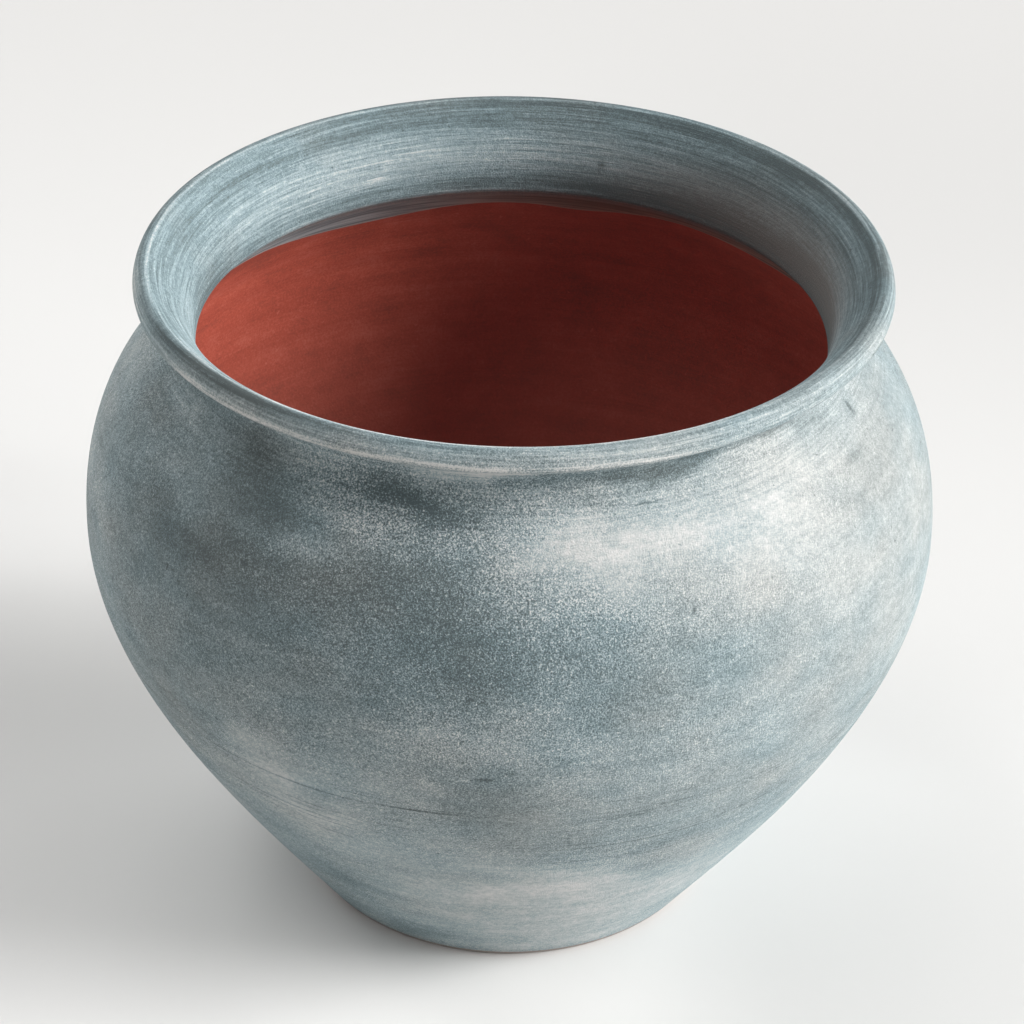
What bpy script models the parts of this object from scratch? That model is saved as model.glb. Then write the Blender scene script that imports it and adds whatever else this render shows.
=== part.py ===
"""Wide-mouthed terracotta jar, thrown in sections, luted together and washed with blue-grey slip.

Metres, +Z up. The origin is the centre of the foot, on the surface that the jar stands on.
Every piece is turned about Z from one meridian outline of the finished jar.
"""
import math

import bmesh
import bpy

# Finished jar, outside
HEIGHT = 0.2458
FOOT_RADIUS = 0.0755
FOOT_FLARE = 0.688          # radius gained for each unit of height at the foot
FOOT_ROUND = 0.0014
BELLY_RADIUS = 0.1500
BELLY_HEIGHT = 0.1470

# Neck and rolled-out rim
THROAT_RADIUS = 0.1090
THROAT_DROP = 0.0303        # narrowest inside ring, below the top of the rim
NECK_WALL = 0.0065
NECK_DROP = 0.0188          # narrowest outside ring, below the top of the rim
LIP_OVERHANG = 0.0144       # lip beyond the neck
LIP_WIDTH = 0.0046          # crest to the lip's outer edge
LIP_DEPTH = 0.0072          # crest to the lip's lower edge
LIP_BULGE = 0.0014          # roundness of the lip's outer face

# Clay
WALL = 0.0080
FLOOR = 0.0100
SEAT_DROP = 0.0012          # rebate round the floor that the wall is set in
TOE_REACH = 0.0070          # wall's foot, thumbed out over the floor in a hollow curve
TOE_RISE = 0.0030
TOE_EDGE = 0.0010
COLLAR_INSIDE = 0.0090      # rim collar's reach below the throat
COLLAR_OUTSIDE = 0.0145     # rim collar's reach below the neck
KEY_WIDTH = 0.0040          # ridge and groove that lock two sections together
KEY_DEPTH = 0.0020
LUTE = 0.0004               # joint between two sections

# Slip coat
COAT = 0.0006
COAT_SEAT = 0.0003          # between the coat and its clay
COAT_INSIDE = 0.0065        # reach below the throat
COAT_MARGIN = 0.0026        # bare clay left above the ground

# Fullness of the curves, as a share of the height each one spans
FOOT_PULL = 0.307
BELLY_PULL_DOWN = 0.304
BELLY_PULL_UP = 0.704
NECK_PULL = 0.146
UNDERCUT_PULL = 0.04
COVE_PULL = 0.42

SEGMENTS = 48
SHARP_ANGLE = math.radians(38)
WELD = 0.00001

CLAY_COLOUR = (0.335, 0.080, 0.052)
COAT_COLOUR = (0.225, 0.300, 0.330)


def offset(point, radius, height):
    return (point[0] + radius, point[1] + height)


def curve_point(curve, t):
    """Point of a cubic curve given by its two ends and two handles."""
    weights = ((1 - t) ** 3, 3 * t * (1 - t) ** 2, 3 * t * t * (1 - t), t ** 3)
    return tuple(sum(w * p[axis] for w, p in zip(weights, curve)) for axis in (0, 1))


def curve_at_height(curve, height):
    """Parameter where a rising or falling curve passes a height."""
    low, high = (0.0, 1.0) if curve[0][1] < curve[3][1] else (1.0, 0.0)
    for _ in range(40):
        middle = (low + high) / 2
        if curve_point(curve, middle)[1] < height:
            low = middle
        else:
            high = middle
    return (low + high) / 2


def stretch(curve, start, end, steps):
    return [curve_point(curve, start + (end - start) * i / steps) for i in range(steps + 1)]


def inset(path, depth):
    """Path moved to its right by a depth, mitred at the corners."""
    moved = []
    for i, point in enumerate(path):
        before = path[max(i - 1, 0)]
        after = path[min(i + 1, len(path) - 1)]
        sides = []
        for a, b in ((before, point), (point, after)):
            length = math.dist(a, b)
            if length > 0:
                sides.append(((b[1] - a[1]) / length, (a[0] - b[0]) / length))
        first, last = sides[0], sides[-1]
        shared = 1 + first[0] * last[0] + first[1] * last[1]
        moved.append(offset(point, *(depth * (first[k] + last[k]) / shared for k in (0, 1))))
    return moved


def trimmed(path, gap):
    """Path with both ends drawn in by a gap."""
    ends = []
    for end, following in ((path[0], path[1]), (path[-1], path[-2])):
        share = gap / math.dist(end, following)
        ends.append(tuple(e + (f - e) * share for e, f in zip(end, following)))
    return [ends[0]] + path[1:-1] + [ends[1]]


def keyed_joint(outer, inner, side):
    """Joint face from outer to inner with a V key in the middle, on one side of the luting."""
    length = math.dist(outer, inner)
    along = ((inner[0] - outer[0]) / length, (inner[1] - outer[1]) / length)
    up = (along[1], -along[0])
    middle = ((outer[0] + inner[0]) / 2, (outer[1] + inner[1]) / 2)
    half = KEY_WIDTH / 2
    face = [
        outer,
        offset(middle, -half * along[0], -half * along[1]),
        offset(middle, -KEY_DEPTH * up[0], -KEY_DEPTH * up[1]),
        offset(middle, half * along[0], half * along[1]),
        inner,
    ]
    shift = side * LUTE / 2
    return [offset(point, shift * up[0], shift * up[1]) for point in face]


def clay_material(name, colour, roughness):
    material = bpy.data.materials.new(name)
    material.use_nodes = True
    shader = material.node_tree.nodes["Principled BSDF"]
    shader.inputs["Base Color"].default_value = (*colour, 1.0)
    shader.inputs["Roughness"].default_value = roughness
    shader.inputs["Metallic"].default_value = 0.0
    return material


def turned(name, outline, material, closed=True):
    """Object turned about Z from an outline; an open outline starts and ends on the axis."""
    shape = bmesh.new()
    verts = [shape.verts.new((radius, 0.0, height)) for radius, height in outline]
    pairs = list(zip(verts, verts[1:]))
    if closed:
        pairs.append((verts[-1], verts[0]))
    edges = [shape.edges.new(pair) for pair in pairs]
    bmesh.ops.spin(shape, geom=verts + edges, cent=(0, 0, 0), axis=(0, 0, 1),
                   angle=math.tau, steps=SEGMENTS, use_merge=True)
    bmesh.ops.remove_doubles(shape, verts=shape.verts, dist=WELD)
    bmesh.ops.recalc_face_normals(shape, faces=shape.faces)
    mesh = bpy.data.meshes.new(name)
    shape.to_mesh(mesh)
    shape.free()
    mesh.shade_smooth()
    mesh.set_sharp_from_angle(angle=SHARP_ANGLE)
    mesh.materials.append(material)
    piece = bpy.data.objects.new(name, mesh)
    bpy.context.scene.collection.objects.link(piece)
    return piece


def meridian():
    """Named points and curves of the finished jar, from the inside floor up and over the rim."""
    throat_z = HEIGHT - THROAT_DROP
    neck = (THROAT_RADIUS + NECK_WALL, HEIGHT - NECK_DROP)
    lip_edge = (neck[0] + LIP_OVERHANG, HEIGHT - LIP_DEPTH)
    crest = (lip_edge[0] - LIP_WIDTH, HEIGHT)
    throat = (THROAT_RADIUS, throat_z)
    belly = (BELLY_RADIUS, BELLY_HEIGHT)
    inner_belly = (BELLY_RADIUS - WALL, BELLY_HEIGHT)
    slab_edge = (FOOT_RADIUS + FLOOR * FOOT_FLARE, FLOOR)
    inner_lean = TOE_RISE * FOOT_FLARE - WALL * math.hypot(1, FOOT_FLARE)
    inner_foot = offset(slab_edge, inner_lean, TOE_RISE)
    toe = offset(inner_foot, -TOE_REACH, TOE_EDGE - TOE_RISE)

    low = BELLY_HEIGHT - FLOOR
    inner_low = low - TOE_RISE
    high = neck[1] - BELLY_HEIGHT
    inner_high = throat_z - BELLY_HEIGHT
    pull = FOOT_PULL * low
    inner_pull = FOOT_PULL * inner_low
    curves = {
        "toe": (toe, offset(toe, TOE_REACH / 2, 0),
                offset(inner_foot, -TOE_RISE * FOOT_FLARE / 2, -TOE_RISE / 2), inner_foot),
        "inner_lower": (inner_foot, offset(inner_foot, inner_pull * FOOT_FLARE, inner_pull),
                        offset(inner_belly, 0, -BELLY_PULL_DOWN * inner_low), inner_belly),
        "inner_upper": (inner_belly, offset(inner_belly, 0, BELLY_PULL_UP * inner_high),
                        offset(throat, 0, -UNDERCUT_PULL * inner_high), throat),
        "shoulder": (neck, offset(neck, 0, -NECK_PULL * high),
                     offset(belly, 0, BELLY_PULL_UP * high), belly),
        "lower": (belly, offset(belly, 0, -BELLY_PULL_DOWN * low),
                  offset(slab_edge, pull * FOOT_FLARE, pull), slab_edge),
    }
    reach_out = COVE_PULL * LIP_OVERHANG
    curves["cove"] = (lip_edge, offset(lip_edge, -reach_out, -reach_out / 2),
                      offset(neck, 0, COVE_PULL * (lip_edge[1] - neck[1])), neck)
    bulge = offset(lip_edge, 0, LIP_BULGE + LIP_DEPTH / 2)
    curves["lip"] = (crest, offset(crest, LIP_WIDTH / 2, 0), bulge, lip_edge)
    return curves, throat, crest


def flare(throat, crest, steps):
    """Arc that leaves the throat upright and opens to the crest of the rim."""
    run, rise = crest[0] - throat[0], crest[1] - throat[1]
    radius = (run * run + rise * rise) / (2 * run)
    sweep = math.asin(rise / radius)
    arc = []
    for i in range(steps + 1):
        turn = sweep * i / steps
        arc.append(offset(throat, radius * (1 - math.cos(turn)), radius * math.sin(turn)))
    return arc


def build_jar():
    for old in list(bpy.data.objects):
        bpy.data.objects.remove(old, do_unlink=True)

    curves, throat, crest = meridian()
    clay = clay_material("terracotta", CLAY_COLOUR, 0.9)
    coat = clay_material("blue_grey_slip", COAT_COLOUR, 0.85)

    # Stretches of the outline, upwards inside and downwards outside, cut at the joints
    inner_upper = curves["inner_upper"]
    shoulder = curves["shoulder"]
    joint_in = curve_at_height(inner_upper, throat[1] - COLLAR_INSIDE)
    coat_in = curve_at_height(inner_upper, throat[1] - COAT_INSIDE)
    joint_out = curve_at_height(shoulder, shoulder[0][1] - COLLAR_OUTSIDE)

    inside_low = stretch(curves["inner_lower"], 0, 1, 6)
    inside_high = stretch(inner_upper, 0, joint_in, 5)
    bare_collar = stretch(inner_upper, joint_in, coat_in, 1)
    coated_throat = stretch(inner_upper, coat_in, 1, 2)
    lip = stretch(curves["lip"], 0, 1, 4)
    cove = stretch(curves["cove"], 0, 1, 4)
    rim = flare(throat, crest, 5) + lip[1:] + cove[1:]
    collar_out = stretch(shoulder, 0, joint_out, 2)
    shoulder_out = stretch(shoulder, joint_out, 1, 5)
    lower_out = stretch(curves["lower"], 0, 1, 6)
    margin = (FOOT_RADIUS + COAT_MARGIN * FOOT_FLARE, COAT_MARGIN)
    foot_out = [lower_out[-1], margin]

    # The coat lies on one unbroken stretch, sunk into the clay's skin
    coated = coated_throat + rim[1:] + collar_out[1:] + shoulder_out[1:] + lower_out[1:] + foot_out[1:]
    bed = inset(coated, COAT + COAT_SEAT)
    collar_end = len(coated_throat) + len(rim) + len(collar_out) - 3
    shoulder_end = collar_end + len(shoulder_out) - 1
    lower_end = shoulder_end + len(lower_out) - 1

    skin = trimmed(coated, COAT_SEAT)
    turned("slip_coat", skin + inset(skin, COAT)[::-1], coat)

    neck_joint = (bed[collar_end], inside_high[-1])
    collar = bare_collar[1:] + bed[:collar_end]
    turned("rim_collar", collar + keyed_joint(*neck_joint, 1), clay)

    belly_joint = (bed[shoulder_end], inside_high[0])
    shoulder_top = keyed_joint(*neck_joint, -1)[::-1]
    shoulder_foot = keyed_joint(*belly_joint, 1)
    shoulder_ring = inside_high[1:-1] + shoulder_top + bed[collar_end + 1:shoulder_end] + shoulder_foot
    turned("shoulder_wall", shoulder_ring, clay)

    toe = stretch(curves["toe"], 0, 1, 3)
    seat = FLOOR - SEAT_DROP
    seam = seat + LUTE / 2
    climb = seam - bed[lower_end][1]
    slab_joint = (offset(bed[lower_end], climb * FOOT_FLARE, climb), (toe[0][0], seam))
    lower_top = keyed_joint(*belly_joint, -1)[::-1]
    lower_foot = keyed_joint(*slab_joint, 1)
    lower_ring = toe + inside_low[1:-1] + lower_top + bed[shoulder_end + 1:lower_end] + lower_foot
    turned("lower_wall", lower_ring, clay)

    slab_seat = keyed_joint(*slab_joint, -1)[::-1]
    floor_radius = toe[0][0] - LUTE
    floor = [(0.0, FLOOR), (floor_radius, FLOOR), (floor_radius, seat)]
    slab_side = [bed[-1], margin, (FOOT_RADIUS + FOOT_ROUND * FOOT_FLARE, FOOT_ROUND)]
    ground = [(FOOT_RADIUS - FOOT_ROUND, 0.0), (0.0, 0.0)]
    slab = floor + slab_seat[1:] + slab_side + ground
    turned("base_slab", slab, clay, closed=False)


build_jar()
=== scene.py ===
"""Looks of the wide-mouthed terracotta jar: turned clay sections under a brushed slip coat.

Metres, +Z up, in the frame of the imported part. The photograph is taken from -Y.
"""
import math

import bpy
import numpy as np
from mathutils import Matrix, Vector, noise


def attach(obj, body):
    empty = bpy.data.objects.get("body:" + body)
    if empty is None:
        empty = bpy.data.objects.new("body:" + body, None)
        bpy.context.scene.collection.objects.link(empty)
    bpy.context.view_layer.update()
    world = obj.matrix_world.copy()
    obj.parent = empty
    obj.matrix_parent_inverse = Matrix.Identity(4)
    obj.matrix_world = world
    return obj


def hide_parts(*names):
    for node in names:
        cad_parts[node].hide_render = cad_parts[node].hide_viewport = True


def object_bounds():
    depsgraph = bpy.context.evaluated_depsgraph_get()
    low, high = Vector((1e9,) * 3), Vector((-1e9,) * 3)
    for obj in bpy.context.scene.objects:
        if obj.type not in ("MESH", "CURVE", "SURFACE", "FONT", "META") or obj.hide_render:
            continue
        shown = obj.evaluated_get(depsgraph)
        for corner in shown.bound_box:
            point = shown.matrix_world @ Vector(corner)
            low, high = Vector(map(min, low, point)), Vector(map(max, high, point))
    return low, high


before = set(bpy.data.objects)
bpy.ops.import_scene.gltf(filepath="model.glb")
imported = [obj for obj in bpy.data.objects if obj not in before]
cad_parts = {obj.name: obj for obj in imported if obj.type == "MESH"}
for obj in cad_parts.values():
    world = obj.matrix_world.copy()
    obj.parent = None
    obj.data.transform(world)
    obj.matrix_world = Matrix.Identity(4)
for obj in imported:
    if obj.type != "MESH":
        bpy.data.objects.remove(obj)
cad_low, cad_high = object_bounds()

MM = 0.001

# Jar's outline, in millimetres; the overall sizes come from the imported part
HEIGHT = cad_high.z / MM
BELLY_RADIUS = cad_high.x / MM
BELLY_HEIGHT = 147.0
FOOT_RADIUS = 75.5
FOOT_FLARE = 0.688
FOOT_ROUND = 1.4
THROAT = (109.0, HEIGHT - 30.3)
NECK = (115.5, HEIGHT - 18.8)
LIP_EDGE = (129.9, HEIGHT - 7.2)
CREST = (125.3, HEIGHT)
WALL = 8.0
FLOOR = 10.0
TOE_RISE = 3.0
TOE_REACH = 7.0
TOE_EDGE = 1.0
SEAT_DROP = 1.2
LUTE = 0.4
COAT = 0.6
COAT_INSIDE = 6.5
COAT_MARGIN = 2.6
COLLAR_INSIDE = 9.0
COLLAR_OUTSIDE = 14.5
CREST_SOFTNESS = 1.6
LIP_SOFTNESS = 1.0

# Fineness of the turned meshes
TURNS = 256
SKIN_STEP = 1.3
RIM_STEP = 0.8
RIM_BED_STEP = 3.0
BED_STEP = 4.0
HIDDEN_STEP = 6.0
WELD = 0.004 * MM
SHARPEST_SMOOTH = math.radians(50)

# Hand-thrown unevenness
THROWING_PITCH = 12.0
THROWING_DEPTH = 0.12
TURNING_DEPTH = 0.07
LEAN = ((0.0, 0.5), (60.0, 0.9), (130.0, 0.0), (195.0, -1.0), (HEIGHT, 0.0))

FLOOR_SIZE = 8.0

# Photograph's camera
CAMERA_DISTANCE = 1.22864
CAMERA_HEIGHT_ANGLE = math.radians(38.157)
CAMERA_PITCH = math.radians(5.5804)
CAMERA_YAW = math.radians(0.0326)
CAMERA_ROLL = math.radians(1.0)
LENS = 112.5
SENSOR = 36.0
LENS_HAZE = 0.005


def curve_points(start, pull, push, end, steps):
    """Points along a cubic curve given by its ends and handles."""
    points = []
    for i in range(steps + 1):
        t = i / steps
        weights = ((1 - t) ** 3, 3 * t * (1 - t) ** 2, 3 * t * t * (1 - t), t ** 3)
        corners = (start, pull, push, end)
        points.append(tuple(sum(w * c[k] for w, c in zip(weights, corners)) for k in (0, 1)))
    return points


def respaced(path, step):
    """Path walked again at an even step."""
    lengths = [0.0]
    for a, b in zip(path, path[1:]):
        lengths.append(lengths[-1] + math.dist(a, b))
    count = max(2, round(lengths[-1] / step))
    at = np.linspace(0, lengths[-1], count + 1)
    return list(zip(*(np.interp(at, lengths, [p[k] for p in path]) for k in (0, 1))))


def softened(path, corner, reach):
    """Path with one corner rounded over a reach on both sides."""
    kept = [p for p in path if math.dist(p, corner) > reach]
    first = next(i for i, p in enumerate(path) if math.dist(p, corner) <= reach)
    before, after = kept[first - 1], kept[first]
    arc = []
    for i in range(7):
        t = i / 6
        arc.append(tuple(before[k] * (1 - t) ** 2 + 2 * corner[k] * t * (1 - t) + after[k] * t * t for k in (0, 1)))
    return kept[:first - 1] + arc + kept[first + 1:]


def inset(path, depth):
    """Path moved to its right by a depth."""
    moved = []
    for i, point in enumerate(path):
        a, b = path[max(i - 1, 0)], path[min(i + 1, len(path) - 1)]
        length = math.dist(a, b)
        moved.append((point[0] + depth * (b[1] - a[1]) / length, point[1] + depth * (a[0] - b[0]) / length))
    return moved


def part_of(path, low, high):
    """Stretch of a rising or falling path between two heights, cut exactly at both."""
    rising = path if path[0][1] < path[-1][1] else path[::-1]
    radii, heights = zip(*rising)
    ends = [(float(np.interp(h, heights, radii)), h) for h in (low, high)]
    stretch = [ends[0]] + [p for p in rising if low + 0.05 < p[1] < high - 0.05] + [ends[1]]
    return stretch if rising is path else stretch[::-1]


def outside_outline():
    """Finished outside, from the throat over the rim and down to the foot."""
    run, rise = CREST[0] - THROAT[0], CREST[1] - THROAT[1]
    radius = (run * run + rise * rise) / (2 * run)
    sweep = math.asin(rise / radius)
    flare = [(THROAT[0] + radius * (1 - math.cos(sweep * i / 40)), THROAT[1] + radius * math.sin(sweep * i / 40))
             for i in range(41)]
    width, depth = LIP_EDGE[0] - CREST[0], CREST[1] - LIP_EDGE[1]
    lip = curve_points(CREST, (CREST[0] + width / 2, CREST[1]),
                       (LIP_EDGE[0], LIP_EDGE[1] + 1.4 + depth / 2), LIP_EDGE, 30)
    reach = 0.42 * (LIP_EDGE[0] - NECK[0])
    cove = curve_points(LIP_EDGE, (LIP_EDGE[0] - reach, LIP_EDGE[1] - reach / 2),
                        (NECK[0], NECK[1] + 0.42 * (LIP_EDGE[1] - NECK[1])), NECK, 40)
    high, low = NECK[1] - BELLY_HEIGHT, BELLY_HEIGHT - FLOOR
    belly = (BELLY_RADIUS, BELLY_HEIGHT)
    shoulder = curve_points(NECK, (NECK[0], NECK[1] - 0.146 * high),
                            (BELLY_RADIUS, BELLY_HEIGHT + 0.704 * high), belly, 120)
    slab_edge = (FOOT_RADIUS + FLOOR * FOOT_FLARE, FLOOR)
    pull = 0.307 * low
    lower = curve_points(belly, (BELLY_RADIUS, BELLY_HEIGHT - 0.304 * low),
                         (slab_edge[0] + pull * FOOT_FLARE, slab_edge[1] + pull), slab_edge, 160)
    margin = (FOOT_RADIUS + COAT_MARGIN * FOOT_FLARE, COAT_MARGIN)
    return flare, lip, cove, shoulder, lower + [margin]


def inside_outline():
    """Bare inside, from the floor's edge up to the throat."""
    slope = math.hypot(1, FOOT_FLARE)
    low_edge = (FOOT_RADIUS + (FLOOR + TOE_RISE) * FOOT_FLARE - WALL * slope, FLOOR + TOE_RISE)
    belly = (BELLY_RADIUS - WALL, BELLY_HEIGHT)
    low, high = BELLY_HEIGHT - low_edge[1], THROAT[1] - BELLY_HEIGHT
    pull = 0.307 * low
    lower = curve_points(low_edge, (low_edge[0] + pull * FOOT_FLARE, low_edge[1] + pull),
                         (belly[0], belly[1] - 0.304 * low), belly, 160)
    upper = curve_points(belly, (belly[0], belly[1] + 0.704 * high), (THROAT[0], THROAT[1] - 0.04 * high), THROAT, 120)
    return lower, upper


def thrown(path):
    """Inside path with the soft rings that fingers leave, fading at the throat."""
    ringed = []
    for radius, height in path:
        fade = min(1.0, (THROAT[1] - COAT_INSIDE - height) / 25.0)
        wave = math.sin(math.tau * height / THROWING_PITCH + 1.3 * math.sin(height / 17.0))
        ringed.append((radius + fade * THROWING_DEPTH * wave, height))
    return ringed


def turned_skin(path):
    """Outside path with the shallow ridges of trimming on the lower wall."""
    ridged = []
    for radius, height in path:
        zone = max(0.0, min(1.0, (85.0 - height) / 25.0)) * max(0.0, min(1.0, (height - 9.0) / 10.0))
        ridge = math.sin(height * 1.9 + 2.0 * math.sin(height * 0.23)) + 0.6 * math.sin(height * 0.83 + 1.0)
        ridged.append((radius + zone * TURNING_DEPTH * ridge, height))
    return ridged


def turn_piece(name, outline):
    """Lays a ring of points on an outline in the XZ plane and spins it about Z."""
    bpy.ops.object.select_all(action="DESELECT")
    bpy.ops.mesh.primitive_circle_add(vertices=len(outline), radius=1 * MM)
    piece = bpy.context.object
    piece.name = name
    piece.data.name = name
    for vert, (radius, height) in zip(piece.data.vertices, outline):
        vert.co = (radius * MM, 0, height * MM)
    bpy.ops.object.mode_set(mode="EDIT")
    bpy.ops.mesh.select_all(action="SELECT")
    bpy.ops.mesh.spin(steps=TURNS, angle=math.tau, center=(0, 0, 0), axis=(0, 0, 1))
    bpy.ops.mesh.select_all(action="SELECT")
    bpy.ops.mesh.remove_doubles(threshold=WELD)
    bpy.ops.mesh.delete_loose()
    bpy.ops.mesh.select_all(action="SELECT")
    bpy.ops.mesh.normals_make_consistent(inside=False)
    bpy.ops.object.mode_set(mode="OBJECT")
    bpy.ops.object.shade_smooth_by_angle(angle=SHARPEST_SMOOTH)
    return piece


def make_lean(piece):
    """Moves the rings of a piece sideways a little, as a hand-thrown jar leans."""
    places = np.empty(len(piece.data.vertices) * 3)
    piece.data.vertices.foreach_get("co", places)
    places = places.reshape(-1, 3)
    heights, shifts = zip(*LEAN)
    places[:, 0] += np.interp(places[:, 2], [h * MM for h in heights], [s * MM for s in shifts])
    piece.data.vertices.foreach_set("co", places.ravel())
    piece.data.update()


class Value:
    """Output of a shader node; arithmetic on it adds Math nodes."""

    def __init__(self, maker, socket):
        self.maker = maker
        self.socket = socket

    def math(self, operation, first, second=0.0):
        return self.maker.node("ShaderNodeMath", {"operation": operation}, {0: first, 1: second})

    def __add__(self, other):
        return self.math("ADD", self, other)

    def __sub__(self, other):
        return self.math("SUBTRACT", self, other)

    def __rsub__(self, other):
        return self.math("SUBTRACT", other, self)

    def __mul__(self, other):
        return self.math("MULTIPLY", self, other)

    def __truediv__(self, other):
        return self.math("DIVIDE", self, other)

    def __neg__(self):
        return self.math("MULTIPLY", self, -1.0)

    __radd__ = __add__
    __rmul__ = __mul__


class Nodes:
    """Maker of the nodes in one node tree."""

    def __init__(self, tree):
        self.tree = tree

    def node(self, kind, settings=None, sockets=None, output=0):
        made = self.tree.nodes.new(kind)
        for key, value in (settings or {}).items():
            if key == "stops":
                self.set_stops(made.color_ramp, value)
            else:
                setattr(made, key, value)
        for key, value in (sockets or {}).items():
            if isinstance(value, Value):
                self.tree.links.new(value.socket, made.inputs[key])
            else:
                made.inputs[key].default_value = value
        return Value(self, made.outputs[output])

    def set_stops(self, ramp, stops):
        while len(ramp.elements) < len(stops):
            ramp.elements.new(1.0)
        for element, (place, shade) in zip(ramp.elements, stops):
            element.position = place
            element.color = (*shade, 1.0)

    def blend(self, share, first, second):
        return self.node("ShaderNodeMix", {"data_type": "RGBA"}, {0: share, 6: first, 7: second}, 2)


class Finish(Nodes):
    """Material of one surface, built node by node around its Principled shader."""

    def __init__(self, name, roughness, specular):
        self.material = bpy.data.materials.new(name)
        self.material.use_nodes = True
        super().__init__(self.material.node_tree)
        self.shader = self.tree.nodes["Principled BSDF"]
        self.shader.inputs["Roughness"].default_value = roughness
        self.shader.inputs["Specular IOR Level"].default_value = specular

    def feed(self, socket, value):
        self.tree.links.new(value.socket, self.shader.inputs[socket])

    def places(self):
        """Object coordinates as separate values, in metres."""
        spot = self.node("ShaderNodeTexCoord", output="Object")
        return [self.node("ShaderNodeSeparateXYZ", None, {0: spot}, k) for k in ("X", "Y", "Z")]

    def vector(self, x, y, z):
        return self.node("ShaderNodeCombineXYZ", None, {0: x, 1: y, 2: z})

    def noise(self, vector, scale, detail=2.0, roughness=0.5):
        return self.node("ShaderNodeTexNoise", None, {"Vector": vector, "Scale": scale, "Detail": detail,
                                                      "Roughness": roughness})

    def step(self, value, low, high, start=0.0, end=1.0):
        """Smooth change from start to end as a value goes from low to high."""
        return self.node("ShaderNodeMapRange", {"interpolation_type": "SMOOTHSTEP"},
                         {0: value, 1: low, 2: high, 3: start, 4: end})

    def band(self, value, middle, half):
        """One in the middle of a band, falling to nothing at its edges."""
        return self.step(abs_of(value - middle), half, 0.0)

    def bump(self, height, distance, strength=1.0):
        return self.node("ShaderNodeBump", None, {"Height": height, "Distance": distance, "Strength": strength})

    def wash(self, sine, streaks):
        """Thin slip that ran on under the throat, greyer at the left and browner at the right."""
        share = self.step(sine, -0.6, 0.35)
        thin = self.blend(share, colour(0.420, 0.500, 0.520), colour(0.370, 0.335, 0.280))
        thick = self.blend(share, colour(0.110, 0.145, 0.160), colour(0.120, 0.108, 0.095))
        return self.blend(self.step(streaks, -0.14, 0.14, 0.1, 0.8), thin, thick)


def abs_of(value):
    return value.math("ABSOLUTE", value)


def colour(red, green, blue):
    return (red, green, blue, 1.0)


# What the coat keeps on its points: how far along the skin each lies in millimetres, how light and
# how warm the coat is there, how thin, how rubbed and how sandy
BRUSHWORK = ("along", "brushing", "warmth", "thinness", "rubbed", "sandiness")
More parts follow.
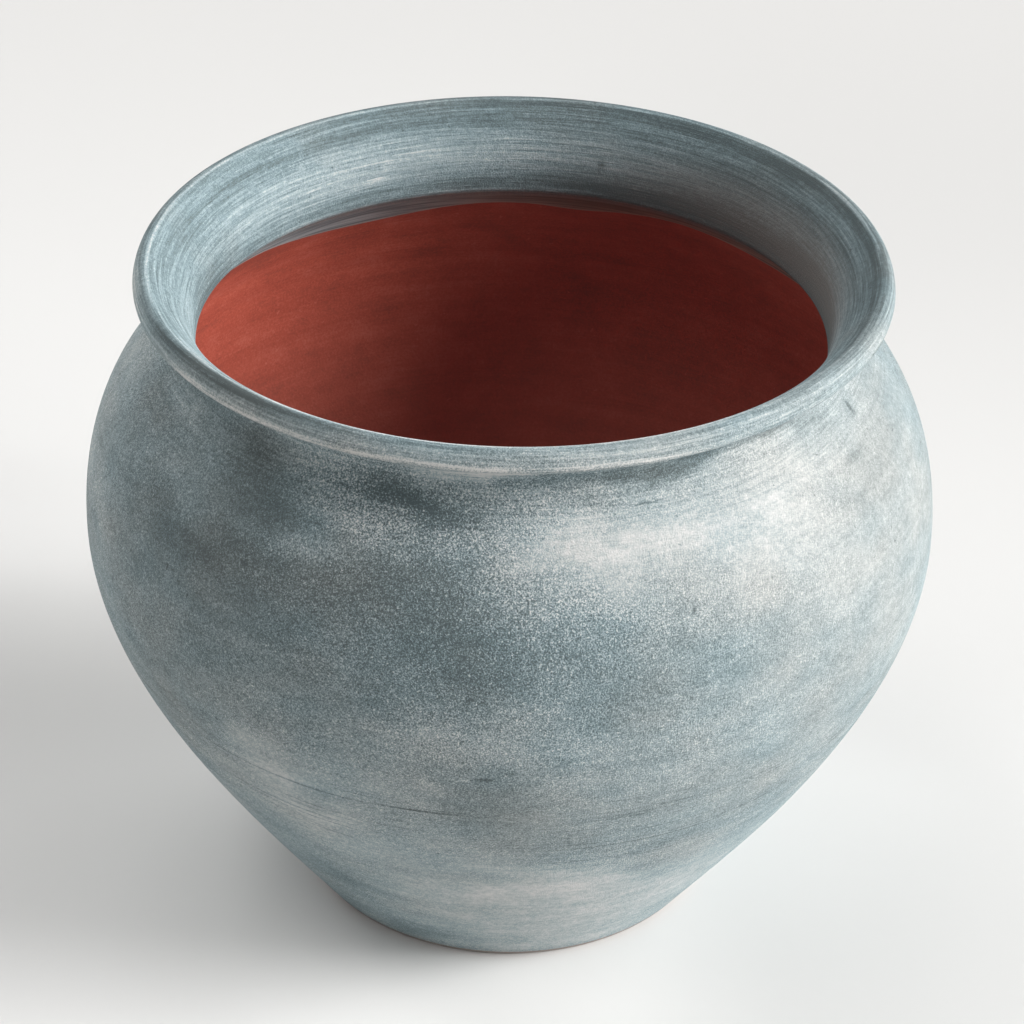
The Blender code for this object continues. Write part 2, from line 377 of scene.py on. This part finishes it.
# Brush dabs on the slip, a few of them painted light or painted shade as marked below: degrees round from the front,
# millimetres along the skin from the coat's inside line, half width in degrees, half height in millimetres, and how
# much lighter or darker
DABS_WITH_PAINTED_LIGHT = (
    # slate under the lip and down the left of the front
    (-15, 83, 9, 4.5, -0.48), (-20, 79, 5, 3, -0.10), (-13, 104, 9, 14, -0.20), (-12, 118, 10, 9, -0.16),
    (-7, 133, 8, 14, -0.26), (-36, 125, 42, 38, -0.26), (-42, 86, 6, 8, -0.30), (-38, 99, 6, 9, -0.32),
    (-48, 118, 20, 7, -0.20), (-57, 142, 7, 13, -0.06), (-70, 95, 9, 14, -0.14),
    # blue in the middle, and a darker band under the right of the lip
    (16, 139, 20, 16, -0.12), (12, 142, 10, 14, -0.06), (20, 74.5, 15, 3.2, -0.36),
    (44, 73.5, 15, 2.6, -0.34), (-2, 186, 6, 18, -0.14), (-50, 186, 12, 22, -0.12), (26, 226, 20, 20, -0.06),
    (82, 128, 22, 50, -0.12), (72, 140, 18, 40, 0.09),
    # chalk, and at -93 degrees a long light dab that is a painted highlight along the jar's left edge
    (12, 97, 14, 12, 0.30), (14, 111, 16, 9, 0.09), (36, 97, 16, 14, 0.22), (55, 92, 18, 14, 0.03),
    (30, 120, 24, 16, 0.06), (2, 147, 6, 9, 0.10), (43, 128, 10, 36, 0.07), (-30, 109, 7, 7, 0.12),
    (-36, 68.5, 11, 3.5, 0.60), (0, 69, 12, 3.2, 0.46), (-29, 80, 6, 5, 0.14), (-68, 143, 9, 8, 0.10),
    (-93, 110, 14, 50, 0.09), (-8, 163, 12, 7, 0.12), (-33, 190, 7, 15, 0.21), (-28, 212, 8, 9, 0.20),
    (-15, 184, 8, 12, 0.10), (-10, 228, 26, 10, 0.10),
    # foot
    (8, 245, 12, 12, 0.26), (16, 286, 34, 44, 0.32), (8, 321, 40, 7, 0.12), (-6, 256, 12, 14, 0.08),
    (-31, 276, 7, 12, -0.16), (-24, 314, 6, 11, -0.20), (-36, 300, 9, 20, -0.08),
    # back of the jar
    (108, 120, 16, 22, -0.18), (134, 96, 18, 13, 0.24), (150, 140, 12, 20, -0.26), (182, 112, 15, 15, -0.24),
    (203, 96, 18, 12, 0.20), (165, 190, 10, 18, 0.16), (216, 150, 13, 20, -0.18), (190, 240, 20, 14, -0.10),
    (236, 200, 9, 18, 0.16), (250, 94, 9, 11, -0.28), (121, 235, 16, 16, 0.12), (170, 296, 30, 30, 0.18),
    (226, 285, 13, 22, -0.12), (100, 190, 9, 20, -0.10),
    # smaller touches between these
    (-20, 92, 6, 6, 0.16), (-30, 74, 8, 7, 0.08), (-6, 82, 8, 4, 0.08), (-50, 110, 5, 5, 0.08),
    (-10, 136, 5, 9, 0.10), (-42, 206, 12, 14, 0.08), (-10, 208, 5, 7, 0.10), (-25, 240, 6, 7, 0.10),
    (20, 181, 5, 6, 0.08), (-10, 62, 30, 6, 0.15), (26, 70, 6, 3, -0.12), (42, 69, 5, 3, 0.36),
    (-9, 82, 6, 4, -0.20), (11, 81, 5, 4, -0.10), (-22, 77, 7, 3.5, -0.16), (-13, 80, 9, 4, -0.14),
    (-40, 80, 5, 4, -0.10), (-10, 101, 5, 6, -0.15), (-30, 110, 5, 6, 0.13), (10, 151, 6, 6, -0.09),
    (-50, 160, 6, 6, -0.07), (-30, 171, 5, 6, -0.08), (14, 233, 14, 12, -0.10), (-18, 282, 8, 8, -0.08),
    (26, 276, 9, 9, -0.07), (-14, 294, 8, 8, -0.05), (-82, 135, 8, 12, 0.09),
    # bell mouth; the dark dabs down its right side, 80 to 165 degrees round, are painted shade, and the dark ring 11.5
    # mm along is painted shade in the crease at the throat
    (-137, 24, 24, 7.5, 0.12), (-135, 36, 60, 2.4, -0.22), (-168, 13, 20, 3.5, -0.12),
    (-108, 30, 38, 18, -0.13), (-100, 11, 13, 8, -0.30), (100, 10, 16, 7, -0.40), (0, 11.5, 500, 3, -0.14),
    (108, 14, 34, 8, -0.70), (148, 13, 24, 4.5, -0.42), (115, 31, 38, 7, -0.32), (80, 38, 24, 9, -0.28),
    (150, 30, 20, 6, -0.06), (186, 35, 28, 6, -0.14), (165, 16, 14, 7, -0.10), (-95, 34, 18, 9, -0.08),
    (100, 15, 10, 6, -0.20), (120, 12, 10, 4, -0.20), (-160, 28, 8, 6, 0.08), (130, 38, 12, 3, -0.10),
    # crest and lip; the dark dabs at the right of the crest, 60 to 125 degrees round, are painted shade
    (122, 41, 34, 2.6, -0.50), (180, 45, 55, 5, -0.34), (-135, 44, 25, 5, 0.10), (-115, 46, 45, 4, -0.14),
    (88, 46, 28, 5, -0.18), (-45, 47, 20, 2.2, -0.50), (-62, 48, 12, 4, -0.14), (165, 44, 35, 4, -0.12),
    (62, 43, 10, 4, -0.12), (-42, 46.5, 8, 2.5, -0.15), (-80, 50, 8, 3, 0.15), (16, 48, 14, 4, 0.10),
    (0, 24, 50, 8, 0.10),
)
# Small scratches, nicks and pits, listed in the same way
NICKS = (
    (-11.5, 194.6, 4.2, 0.45, -0.55), (-2.5, 175.5, 1.1, 0.7, -0.55), (-5.0, 176.3, 0.6, 0.5, 0.30),
    (21, 84, 1.6, 0.35, -0.40), (24.5, 121, 0.25, 1.3, -0.50), (67.3, 87, 0.5, 3.2, -0.40),
    (61, 99, 2.2, 2.4, -0.16), (-65, 85.5, 5.0, 0.7, 0.22), (-4.5, 144.5, 0.5, 0.6, -0.45),
    (163.5, 21.5, 0.7, 1.3, -0.45), (-152, 18.5, 2.2, 0.6, 0.40), (38, 88.5, 1.8, 0.4, 0.10),
    (-37, 116.5, 0.5, 0.7, -0.45), (-33, 213, 9, 0.5, -0.28), (140, 205, 8, 0.5, -0.40), (205, 178, 1.0, 0.8, -0.50),
)
# Coat's tone between the dabs, how the sand's pattern is turned, and the seed of the dabs' ragged edges
BASE_TONE = 0.575
SAND_TURN = (0.70, 0.30, 0.61)
BRUSH_SEED = 11
# Wavering edge of the slip that ran down inside: its height, and where it turns higher or lower
LAP_LINE = 202.3
LAPS = (
    (-152, 15, -3.4), (-176, 13, 2.2), (169, 6, -1.6), (149, 13, 4.0), (126, 10, -1.2), (-130, 6, 0.9),
    (-100, 16, -1.5), (-60, 20, 2.2), (-15, 18, -2.4), (30, 14, 2.4), (75, 18, -1.8),
)


def slip_finish():
    """Blue-grey slip, brushed round the jar and rubbed back: slate, blue and chalk over sandy clay, with painted light
    and shade in some dabs, along the crest and under the throat.
    """
    slip = Finish("brushed_slip", 0.85, 0.25)
    x, y, z = slip.places()
    spot = slip.node("ShaderNodeMapping", None, {"Vector": slip.vector(x, y, z), "Rotation": SAND_TURN})
    along, tone, warmth, thin, rubbed, sandy = [
        slip.node("ShaderNodeAttribute", {"attribute_name": name}, output="Fac") for name in BRUSHWORK]
    reach = x.math("SQRT", x * x + y * y)
    sine, cosine = x / reach, -y / reach

    # Crisp small marks
    touch = slip.vector(sine, cosine, along)
    square = along * along
    for azimuth, place, width, height, change in NICKS:
        turn, spread = math.radians(azimuth), math.radians(width) ** 2
        pull = (2 * math.sin(turn) / spread, 2 * math.cos(turn) / spread, 2 * place / height ** 2)
        lean = slip.node("ShaderNodeVectorMath", {"operation": "DOT_PRODUCT"}, {0: touch, 1: pull}, "Value")
        nick = x.math("EXPONENT", lean + square * (-1 / height ** 2) + (-2 / spread - (place / height) ** 2))
        tone = tone + nick * change

    # Brush hairs, turning lines and clouding
    cloud = slip.noise(slip.vector(x, y, z * 1.5), 85.0, 4.0, 0.68) - 0.5
    hairs = slip.noise(slip.vector(sine * 4.0, cosine * 4.0, along), 1.2, 3.0, 0.7) - 0.5
    strokes = slip.noise(slip.vector(sine * 3.0, cosine * 3.0, along), 0.22, 3.0, 0.6) - 0.5
    lines = slip.step(slip.noise(slip.vector(sine * 1.8, cosine * 1.8, along * 1.3), 1.0, 3.0, 0.6), 0.57, 0.68)
    turning = slip.step(along, 182.0, 194.0) * slip.step(along, 246.0, 230.0)
    smooth = slip.step(along, 232.0, 262.0)
    rim = slip.step(along, 74.0, 56.0)
    under = slip.step(along, 104.0, 76.0)
    tone = tone + cloud * (0.35 - rim * 0.23) + hairs * (rim * 0.36 + under * 0.66 + 0.16)
    tone = tone + strokes * (rim * 0.36 + 0.18) - lines * turning * 0.28

    # Sand that shows most where the coat is dark, and pits
    raw = slip.noise(spot, 1750.0, 3.0, 0.75) - 0.5
    lumps = slip.noise(spot, 560.0, 2.0, 0.6) - 0.5
    specks = slip.step(slip.noise(spot, 1000.0, 1.0, 0.5), 0.64, 0.76)
    pits = slip.step(slip.noise(spot, 430.0, 2.0, 0.55), 0.70, 0.77)
    chalky = slip.step(tone, 0.55, 0.90, 1.0, 0.19)
    sand = (raw * 1.10 + specks * 0.12) * sandy * chalky + lumps * 0.42
    tone = tone + sand * (1.0 - smooth * 0.1) - pits * (0.32 - smooth * 0.22)

    # Rubbed edges: crest and lip's lower arris, the light line along the crest partly rubbed slip and partly a painted
    # highlight; the coat is thin under the throat, and the band there is lightened, painted light where the overhang
    # keeps it in shade
    crest_highlight_and_wear = slip.band(along, 44.6, 1.1) * (rubbed * 0.6 + 0.4)
    arris = slip.band(along, 53.4, 2.0) * rubbed
    thin_coat_painted_light = slip.step(along, 9.0, 6.5)
    tone = tone + crest_highlight_and_wear * 0.48 + arris * 0.38 + thin_coat_painted_light * 0.25

    # Cool and warm greys, brown where the coat is thin, bare clay at the inside line
    cool = slip.node("ShaderNodeValToRGB", {"stops": (
        (0.00, (0.070, 0.094, 0.099)),
        (0.25, (0.109, 0.148, 0.158)),
        (0.50, (0.179, 0.240, 0.257)),
        (0.75, (0.300, 0.362, 0.374)),
        (1.00, (0.545, 0.546, 0.536)),
    )}, {0: tone})
    warm = slip.node("ShaderNodeValToRGB", {"stops": (
        (0.00, (0.084, 0.092, 0.089)),
        (0.25, (0.136, 0.148, 0.144)),
        (0.50, (0.221, 0.240, 0.235)),
        (0.75, (0.355, 0.368, 0.358)),
        (1.00, (0.558, 0.546, 0.526)),
    )}, {0: tone})
    paint = slip.blend(warmth + arris * 0.3, cool, warm)
    bare = slip.step(thin + hairs * 0.8 + thin_coat_painted_light * 0.6, 0.1, 1.0, 0.0, 0.6)
    paint = slip.blend(bare, paint, colour(0.135, 0.112, 0.098))
    paint = slip.blend(slip.step(along, 4.0, 1.5), paint, slip.wash(sine, strokes + hairs * 0.6))
    slip.feed("Base Color", paint)
    slip.feed("Roughness", 0.90 - tone * 0.10)
    slip.feed("Normal", slip.bump(raw + hairs * (rim * 0.7 + 0.1), 0.00040, 1.0))
    return slip.material


def clay_finish():
    """Bare fired red clay, smoothed by a wet hand."""
    clay = Finish("bare_clay", 0.8, 0.3)
    x, y, z = clay.places()
    reach = x.math("SQRT", x * x + y * y + 1e-6)
    spot = clay.vector(x, y, z)
    sine, cosine = x / reach, -y / reach
    rings = clay.noise(clay.vector(x / reach * 1.5, y / reach * 1.5, z * 260.0), 1.0, 3.0, 0.6) - 0.5
    fine = clay.noise(clay.vector(x / reach * 4.0, y / reach * 4.0, z * 1500.0), 1.0, 2.0, 0.6) - 0.5
    patches = clay.noise(clay.vector(x, y, z * 1.6), 46.0, 5.0, 0.7) - 0.5
    grain = clay.noise(spot, 1100.0, 2.0, 0.6) - 0.5
    chips = clay.step(clay.noise(spot, 300.0, 2.0, 0.5), 0.71, 0.77)
    tone = rings * 0.65 + fine * 0.45 + patches * 1.5 + grain * 1.2 + chips * 0.9 + 0.5
    paint = clay.node("ShaderNodeValToRGB", {"stops": (
        (0.0, (0.275, 0.060, 0.039)),
        (0.5, (0.424, 0.080, 0.047)),
        (1.0, (0.500, 0.125, 0.086)),
    )}, {0: tone})
    paint = clay.blend(clay.step(z, 0.180, 0.060, 0.0, 0.5), paint, colour(0.305, 0.102, 0.072))
    stained = clay.step(z, 0.007, 0.004) * clay.step(reach, 0.066, 0.073)
    paint = clay.blend(stained * 0.9, paint, colour(0.250, 0.235, 0.215))
    level = z * 1000.0
    touch = clay.vector(sine, cosine, 0.0)
    for azimuth, width, rise in LAPS:
        turn, spread = math.radians(azimuth), math.radians(width) ** 2
        pull = (2 * math.sin(turn) / spread, 2 * math.cos(turn) / spread, 0)
        lean = clay.node("ShaderNodeVectorMath", {"operation": "DOT_PRODUCT"}, {0: touch, 1: pull}, "Value")
        level = level - x.math("EXPONENT", lean - 2 / spread) * rise
    level = level + fine * 0.8
    paint = clay.blend(clay.step(level, LAP_LINE - 0.25, LAP_LINE + 0.15), paint, clay.wash(sine, rings + fine * 0.8))
    paint = clay.blend(clay.band(level, LAP_LINE + 0.5, 0.7) * 0.55, paint, colour(0.520, 0.450, 0.390))
    clay.feed("Base Color", paint)
    clay.feed("Roughness", 0.84 - tone * 0.10)
    clay.feed("Normal", clay.bump(grain + fine * 0.6 + rings * 0.4, 0.00016, 0.7))
    return clay.material


def floor_finish():
    """Pale studio paper with painted light and shade: greyer far away as painted fall-off of light, painted light that
    lifts the jar's cast shadow in front of it and at its left, and painted shade over the right.
    """
    floor = Finish("pale_floor_with_painted_light", 0.9, 0.2)
    x, y, _ = floor.places()
    # painted shade: the paper greys towards the back
    away = floor.step(y, 0.1, 0.9)
    paper = floor.blend(away, colour(0.630, 0.624, 0.613), colour(0.495, 0.489, 0.479))
    # painted light: lighter patches in front of the jar and at its left lift its cast shadow
    front = floor.band(y, -0.11, 0.09) * floor.band(x, 0.0, 0.11)
    left = floor.band(y, 0.17, 0.09) * floor.step(x, -0.13, -0.19)
    # painted shade: a little darkening over the right of the floor
    right = floor.step(y, 0.02, 0.14) * floor.step(y, 0.85, 0.45) * floor.step(x, -0.05, 0.16, 0.04, 0.12)
    paper = floor.blend((front + left) * 0.26, paper, colour(1.0, 0.99, 0.97))
    floor.feed("Base Color", floor.blend(right, paper, colour(0.0, 0.0, 0.0)))
    return floor.material


def soft_spot(azimuth, climb, around, place, width, height):
    """Soft spot of a brush dab or of painted light or shade, one in its middle and fading out."""
    gap = (2 - 2 * np.cos(azimuth - math.radians(around))) / math.radians(width) ** 2
    return np.exp(-gap - ((climb - place) / height) ** 2)


def brush_coat(piece, path):
    """Lays the brush dabs, with the painted light and shade among them, on the points of the coat, their edges broken
    by noise.
    """
    walked = [0.0]
    for a, b in zip(path, path[1:]):
        walked.append(walked[-1] + math.dist(a, b))
    places = np.empty(len(piece.data.vertices) * 3)
    piece.data.vertices.foreach_get("co", places)
    places = places.reshape(-1, 3) / MM
    reach = np.hypot(places[:, 0], places[:, 1])
    rings, which = np.unique(np.round(np.column_stack((reach, places[:, 2])), 2), axis=0, return_inverse=True)
    nearest = np.array([np.argmin(np.hypot(*(np.array(path) - ring).T)) for ring in rings])
    along = np.array(walked)[nearest][which.ravel()]

    noise.seed_set(BRUSH_SEED)

    def noises(size, squash=1.0):
        stretch = (1 / size, 1 / size, squash / size)
        return np.array([noise.noise_vector(place) for place in places * stretch])

    broad, middle, small = noises(34.0, 1.3), noises(13.0, 1.5), noises(6.0, 1.6)
    ragged = broad * 1.0 + middle * 0.5 + small * 0.28
    body = np.clip((along - 50.0) / 30.0, 0.12, 1.0)
    azimuth = np.arctan2(places[:, 0], -places[:, 1]) + 9.0 * ragged[:, 0] * body / reach
    climb = along + 7.5 * ragged[:, 1] * body
    tone = BASE_TONE + 0.07 * ragged[:, 2] * body
    for around, place, width, height, change in DABS_WITH_PAINTED_LIGHT:
        tone += change * soft_spot(azimuth, climb, around, place, width, height)
    warmth = 0.34 + 0.40 * broad[:, 0] + 0.22 * middle[:, 2] - 0.40 * np.clip((50.0 - along) / 8.0, 0.0, 1.0)
    warmth += 0.55 * soft_spot(azimuth, climb, 52, 105, 30, 45) - 0.30 * soft_spot(azimuth, climb, 0, 140, 26, 40)
    warmth += 0.25 * soft_spot(azimuth, climb, 74, 140, 22, 50) - 0.30 * soft_spot(azimuth, climb, -18, 84, 16, 10)
    warmth -= 0.45 * np.exp(-((along - 69.0) / 5.0) ** 2)
    warmth -= 0.34 * np.clip((along - 215.0) / 40.0, 0.0, 1.0)
    thin = soft_spot(azimuth, climb, 118, 20, 50, 13)
    sandy = 1.75 + 0.5 * broad[:, 1] + 1.6 * soft_spot(azimuth, climb, -4, 122, 24, 46)
    sandy += 2.4 * soft_spot(azimuth, climb, -18, 84, 16, 12) + 1.0 * soft_spot(azimuth, along, 0, 57, 60, 9)
    sandy -= 1.4 * soft_spot(azimuth, climb, 72, 140, 28, 90) + 0.8 * np.clip((70.0 - along) / 14.0, 0.0, 1.0)
    around = np.column_stack((places[:, 0], places[:, 1], 0 * reach)) / reach[:, None]
    lap = np.array([noise.noise_vector(spot) for spot in around * 2.6])
    lap += 0.5 * np.array([noise.noise_vector(spot) for spot in around * 6.1])
    rubbed = 0.50 + 1.1 * lap[:, 1] + 0.4 * soft_spot(azimuth, 0, -22, 0, 26, 1)
    rubbed -= 0.7 * soft_spot(azimuth, 0, 34, 0, 34, 1)
    rubbed = np.clip(rubbed, 0.0, 1.0)
    for name, values in zip(BRUSHWORK, (along, tone, warmth, thin, rubbed, sandy)):
        attribute = piece.data.attributes.new(name, "FLOAT", "POINT")
        attribute.data.foreach_set("value", values.astype(np.float32))


def build_pieces():
    flare, lip, cove, shoulder, lower = outside_outline()
    inner_lower, inner_upper = inside_outline()
    rim = softened(softened(flare + lip[1:] + cove[1:], CREST, CREST_SOFTNESS), LIP_EDGE, LIP_SOFTNESS)
    coat_line = THROAT[1] - COAT_INSIDE
    inside_skin = part_of(inner_upper, coat_line, THROAT[1])
    body = respaced(turned_skin(shoulder + lower[1:]), SKIN_STEP)
    skin = respaced(inside_skin, SKIN_STEP)[:-1] + respaced(rim, RIM_STEP)[:-1] + body
    bed = inset(skin, COAT)
    back = respaced(bed, BED_STEP)
    coat = turn_piece("brushed_slip", skin + back[::-1])
    brush_coat(coat, skin)

    joint_neck = NECK[1] - COLLAR_OUTSIDE
    inner_neck = THROAT[1] - COLLAR_INSIDE
    neck_index = min(range(len(bed)), key=lambda i: math.dist(bed[i], (NECK[0] - COAT, NECK[1])))
    rim_bed, body_bed = bed[:neck_index + 1], bed[neck_index:]
    inside = respaced(thrown(inner_lower + inner_upper[1:]), SKIN_STEP)

    def cut(outer_low, outer_high, inner_low, inner_high, outer_path):
        inner_side = part_of(inside, inner_low, inner_high)
        outer_side = respaced(part_of(outer_path, outer_low, outer_high), HIDDEN_STEP)
        return inner_side, outer_side

    inner_side, outer_side = cut(joint_neck, NECK[1], inner_neck, coat_line, body_bed)
    collar = turn_piece("rim_clay", inner_side + respaced(rim_bed, RIM_BED_STEP) + outer_side[1:])
    inner_side, outer_side = cut(BELLY_HEIGHT, joint_neck, BELLY_HEIGHT, inner_neck, body_bed)
    shoulder_clay = turn_piece("shoulder_clay", inner_side + outer_side)
    seat = FLOOR - SEAT_DROP
    inner_side, outer_side = cut(seat, BELLY_HEIGHT, FLOOR + TOE_RISE, BELLY_HEIGHT, body_bed)
    wall_foot = inside[0]
    toe = (wall_foot[0] - TOE_REACH, FLOOR + TOE_EDGE)
    hollow = curve_points(toe, (toe[0] + TOE_REACH / 2, toe[1]),
                          (wall_foot[0] - TOE_RISE * FOOT_FLARE / 2, wall_foot[1] - TOE_RISE / 2), wall_foot, 8)
    lower_clay = turn_piece("lower_clay", [(toe[0], seat)] + hollow[:-1] + inner_side + outer_side)

    floor_radius = toe[0] - LUTE
    floor = [(floor_radius * i / 30, FLOOR) for i in range(31)] + [(floor_radius, seat), outer_side[-1]]
    side = [(FOOT_RADIUS + COAT_MARGIN * FOOT_FLARE - COAT, COAT_MARGIN),
            (FOOT_RADIUS + COAT_MARGIN * FOOT_FLARE, COAT_MARGIN)]
    edge = curve_points((FOOT_RADIUS + FOOT_ROUND * FOOT_FLARE, FOOT_ROUND), (FOOT_RADIUS + 0.3, 0.4),
                        (FOOT_RADIUS - 0.3, 0.0), (FOOT_RADIUS - FOOT_ROUND, 0.0), 8)
    slab = turn_piece("foot_clay", floor + side + edge + [(0.0, 0.0)])
    return coat, collar, shoulder_clay, lower_clay, slab


coat, collar, shoulder_clay, lower_clay, slab = build_pieces()
slip = slip_finish()
clay = clay_finish()
PIECES = (
    (coat, "slip_coat", "blue_grey_slip", slip),
    (collar, "rim_collar", "terracotta", clay),
    (shoulder_clay, "shoulder_wall", "terracotta", clay),
    (lower_clay, "lower_wall", "terracotta", clay),
    (slab, "base_slab", "terracotta", clay),
)
for piece, node, slot, material in PIECES:
    make_lean(piece)
    piece.data.materials.clear()
    piece.data.materials.append(material)
    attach(piece, "root")
    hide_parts(node)

bpy.ops.mesh.primitive_plane_add(size=FLOOR_SIZE, location=(0, 0, 0))
floor = bpy.context.object
floor.name = "studio_floor"
floor.data.materials.append(floor_finish())


def aim_camera():
    """Camera placed by the photograph's own perspective."""
    spot = Vector((0, -math.cos(CAMERA_HEIGHT_ANGLE), math.sin(CAMERA_HEIGHT_ANGLE))) * CAMERA_DISTANCE
    dip = CAMERA_PITCH - CAMERA_HEIGHT_ANGLE
    ahead = Vector((math.sin(CAMERA_YAW) * math.cos(dip), math.cos(CAMERA_YAW) * math.cos(dip), math.sin(dip)))
    right = ahead.cross(Vector((0, 0, 1))).normalized()
    above = right.cross(ahead)
    turned_right = right * math.cos(CAMERA_ROLL) + above * math.sin(CAMERA_ROLL)
    turned_above = above * math.cos(CAMERA_ROLL) - right * math.sin(CAMERA_ROLL)
    view = bpy.data.cameras.new("photograph_view")
    view.lens = LENS
    view.sensor_width = SENSOR
    camera = bpy.data.objects.new("photograph_view", view)
    axes = Matrix((turned_right, turned_above, -ahead)).transposed()
    camera.matrix_world = Matrix.Translation(spot) @ axes.to_4x4()
    bpy.context.scene.collection.objects.link(camera)
    bpy.context.scene.camera = camera


def soft_light(name, azimuth, elevation, strength, spread):
    """Distant soft studio light; azimuth 0 is towards the camera and 90 to the right."""
    turn, lift = math.radians(azimuth), math.radians(elevation)
    direction = Vector((math.sin(turn) * math.cos(lift), -math.cos(turn) * math.cos(lift), math.sin(lift)))
    lamp = bpy.data.lights.new(name, "SUN")
    lamp.energy = strength
    lamp.angle = math.radians(spread)
    light = bpy.data.objects.new(name, lamp)
    light.location = direction * 2.0
    light.rotation_euler = direction.to_track_quat("Z", "Y").to_euler()
    bpy.context.scene.collection.objects.link(light)


# Name, azimuth, elevation, strength and spread of each studio light, in degrees
LIGHTS = (
    ("window_low", 90, 14, 3.15, 26),
    ("window_high", 75, 36, 1.85, 26),
    ("window_behind", 135, 14, 1.50, 26),
    ("window_near", 60, 25, 0.92, 26),
    ("window_middle", 78, 25, 0.95, 26),
    ("wall_left", 270, 14, 0.78, 26),
    ("wall_left_behind", 225, 14, 0.90, 26),
    ("wall_behind", 180, 36, 0.54, 26),
    ("camera_side", 40, 14, 0.50, 26),
    ("ceiling_left", 250, 58, 0.90, 26),
    ("ceiling_behind", 202, 60, 0.25, 26),
    ("ceiling_near", 305, 60, 0.28, 26),
)

# Room beyond the floor: the little light that it gives, and the pale wall that low views show
ROOM_LIGHT = colour(0.02, 0.02, 0.02)
ROOM_WALL = colour(0.86, 0.855, 0.845)


def light_room():
    world = bpy.data.worlds.new("studio")
    world.use_nodes = True
    room = Nodes(world.node_tree)
    seen = room.node("ShaderNodeLightPath", output="Is Camera Ray")
    shade = room.blend(seen, ROOM_LIGHT, ROOM_WALL)
    room.tree.links.new(shade.socket, room.tree.nodes["Background"].inputs["Color"])
    bpy.context.scene.world = world


aim_camera()
for light in LIGHTS:
    soft_light(*light)
light_room()
show = bpy.context.scene.view_settings
show.view_transform = "Standard"
show.use_curve_mapping = True
show.curve_mapping.black_level = (-LENS_HAZE, -LENS_HAZE, -LENS_HAZE)
